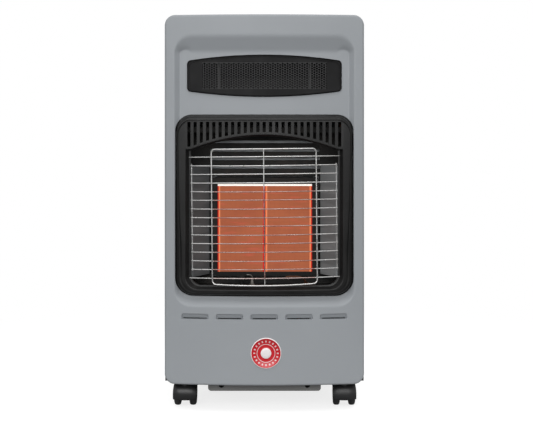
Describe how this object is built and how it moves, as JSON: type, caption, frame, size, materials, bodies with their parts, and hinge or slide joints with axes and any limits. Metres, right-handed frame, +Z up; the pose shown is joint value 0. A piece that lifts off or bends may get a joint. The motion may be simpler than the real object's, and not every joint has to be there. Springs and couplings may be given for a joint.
{
  "type": "portable gas cabinet heater",
  "caption": "Roll-about gas cabinet heater with a bowed grey front, wire-guarded plaque burner, warm-air outlet and swivel casters.",
  "frame": {"origin": "on the floor, under the middle of the overall box", "axes": "+Z up; the front faces -Y; +X is to the right seen from the front"},
  "size_m": [0.385, 0.3978, 0.766],
  "materials": {
    "grey_paint": "satin powder coat",
    "base_paint": "satin paint",
    "black_plastic": "satin moulded",
    "caster_plastic": "moulded nylon",
    "mesh_steel": "matt black",
    "chrome_wire": "bright plated",
    "reflector_steel": "bright rolled",
    "sooty_steel": "heat-darkened",
    "zinc_steel": "zinc plated",
    "glowing_ceramic": "glowing honeycomb",
    "white_fibre": "matt fibre",
    "brass": "machined",
    "copper": "drawn",
    "red_enamel": "gloss enamel",
    "white_ceramic": "glazed",
    "lead_rubber": "silicone sleeve"
  },
  "bodies": {
    "cabinet": {"front_panel": "grey_paint", "top_cover": "grey_paint", "side_panel_left": "grey_paint", "side_panel_right": "grey_paint", "base_tray": "base_paint", "outlet_frame": "black_plastic", "burner_bezel": "black_plastic", "side_grip_left": "black_plastic", "side_grip_right": "black_plastic", "igniter_body": "black_plastic", "base_corner_front_left": "caster_plastic", "base_corner_front_right": "caster_plastic", "base_corner_rear_left": "caster_plastic", "base_corner_rear_right": "caster_plastic", "outlet_mesh": "mesh_steel", "wire_guard": "chrome_wire", "side_reflector_left": "reflector_steel", "side_reflector_right": "reflector_steel", "firebox": "sooty_steel", "burner_frame": "sooty_steel", "plenum": "sooty_steel", "outlet_duct": "sooty_steel", "mixing_tube": "zinc_steel", "heat_shield": "zinc_steel", "pilot_burner": "zinc_steel", "outlet_strut_left": "zinc_steel", "outlet_strut_right": "zinc_steel", "plaque_left": "glowing_ceramic", "plaque_right": "glowing_ceramic", "gasket_strip": "white_fibre", "injector_holder": "brass", "gas_valve": "brass", "hose_nozzle": "brass", "thermocouple": "copper", "gas_pipe": "copper", "pilot_pipe": "copper", "badge": "red_enamel", "spark_electrode": "white_ceramic", "ignition_lead": "lead_rubber"},
    "rear_cover": {"rear_cover": "grey_paint"},
    "valve_stem": {"valve_stem": "zinc_steel"},
    "control_knob": {"control_knob": "black_plastic"},
    "igniter_button": {"igniter_button": "red_enamel"},
    "caster_front_left": {"caster_hood_front_left": "caster_plastic", "caster_axle_front_left": "zinc_steel"},
    "wheel_front_left_a": {"caster_wheel_front_left_a": "caster_plastic"},
    "wheel_front_left_b": {"caster_wheel_front_left_b": "caster_plastic"},
    "caster_front_right": {"caster_hood_front_right": "caster_plastic", "caster_axle_front_right": "zinc_steel"},
    "wheel_front_right_a": {"caster_wheel_front_right_a": "caster_plastic"},
    "wheel_front_right_b": {"caster_wheel_front_right_b": "caster_plastic"},
    "caster_rear_left": {"caster_hood_rear_left": "caster_plastic", "caster_axle_rear_left": "zinc_steel"},
    "wheel_rear_left_a": {"caster_wheel_rear_left_a": "caster_plastic"},
    "wheel_rear_left_b": {"caster_wheel_rear_left_b": "caster_plastic"},
    "caster_rear_right": {"caster_hood_rear_right": "caster_plastic", "caster_axle_rear_right": "zinc_steel"},
    "wheel_rear_right_a": {"caster_wheel_rear_right_a": "caster_plastic"},
    "wheel_rear_right_b": {"caster_wheel_rear_right_b": "caster_plastic"}
  },
  "joints": [
    {"name": "rear_cover_tilt", "type": "hinge", "parent": "cabinet", "child": "rear_cover", "pos_m": [0, 0.19895, 0.08], "axis": [-1, 0, 0], "range_deg": [0, 35]},
    {"name": "knob_push", "type": "slide", "parent": "cabinet", "child": "valve_stem", "axis": [0, 0, -1], "range_m": [0, 0.004], "stiffness_N_per_m": 1500, "springref_m": -0.003},
    {"name": "knob_turn", "type": "hinge", "parent": "valve_stem", "child": "control_knob", "pos_m": [0.062, 0.02495, 0.74], "axis": [0, 0, 1], "range_deg": [0, 210]},
    {"name": "igniter_push", "type": "slide", "parent": "cabinet", "child": "igniter_button", "axis": [0, 0, -1], "range_m": [0, 0.006], "stiffness_N_per_m": 900, "springref_m": -0.003},
    {"name": "swivel_front_left", "type": "hinge", "parent": "cabinet", "child": "caster_front_left", "pos_m": [-0.1565, -0.13265, 0.0565], "axis": [0, 0, 1], "continuous": true},
    {"name": "spin_front_left_a", "type": "hinge", "parent": "caster_front_left", "child": "wheel_front_left_a", "pos_m": [-0.1565, -0.11565, 0.025], "axis": [1, 0, 0], "continuous": true},
    {"name": "spin_front_left_b", "type": "hinge", "parent": "caster_front_left", "child": "wheel_front_left_b", "pos_m": [-0.1565, -0.11565, 0.025], "axis": [1, 0, 0], "continuous": true},
    {"name": "swivel_front_right", "type": "hinge", "parent": "cabinet", "child": "caster_front_right", "pos_m": [0.1565, -0.13265, 0.0565], "axis": [0, 0, 1], "continuous": true},
    {"name": "spin_front_right_a", "type": "hinge", "parent": "caster_front_right", "child": "wheel_front_right_a", "pos_m": [0.1565, -0.11565, 0.025], "axis": [1, 0, 0], "continuous": true},
    {"name": "spin_front_right_b", "type": "hinge", "parent": "caster_front_right", "child": "wheel_front_right_b", "pos_m": [0.1565, -0.11565, 0.025], "axis": [1, 0, 0], "continuous": true},
    {"name": "swivel_rear_left", "type": "hinge", "parent": "cabinet", "child": "caster_rear_left", "pos_m": [-0.1565, 0.14695, 0.0565], "axis": [0, 0, 1], "continuous": true},
    {"name": "spin_rear_left_a", "type": "hinge", "parent": "caster_rear_left", "child": "wheel_rear_left_a", "pos_m": [-0.1565, 0.16395, 0.025], "axis": [1, 0, 0], "continuous": true},
    {"name": "spin_rear_left_b", "type": "hinge", "parent": "caster_rear_left", "child": "wheel_rear_left_b", "pos_m": [-0.1565, 0.16395, 0.025], "axis": [1, 0, 0], "continuous": true},
    {"name": "swivel_rear_right", "type": "hinge", "parent": "cabinet", "child": "caster_rear_right", "pos_m": [0.1565, 0.14695, 0.0565], "axis": [0, 0, 1], "continuous": true},
    {"name": "spin_rear_right_a", "type": "hinge", "parent": "caster_rear_right", "child": "wheel_rear_right_a", "pos_m": [0.1565, 0.16395, 0.025], "axis": [1, 0, 0], "continuous": true},
    {"name": "spin_rear_right_b", "type": "hinge", "parent": "caster_rear_right", "child": "wheel_rear_right_b", "pos_m": [0.1565, 0.16395, 0.025], "axis": [1, 0, 0], "continuous": true}
  ]
}
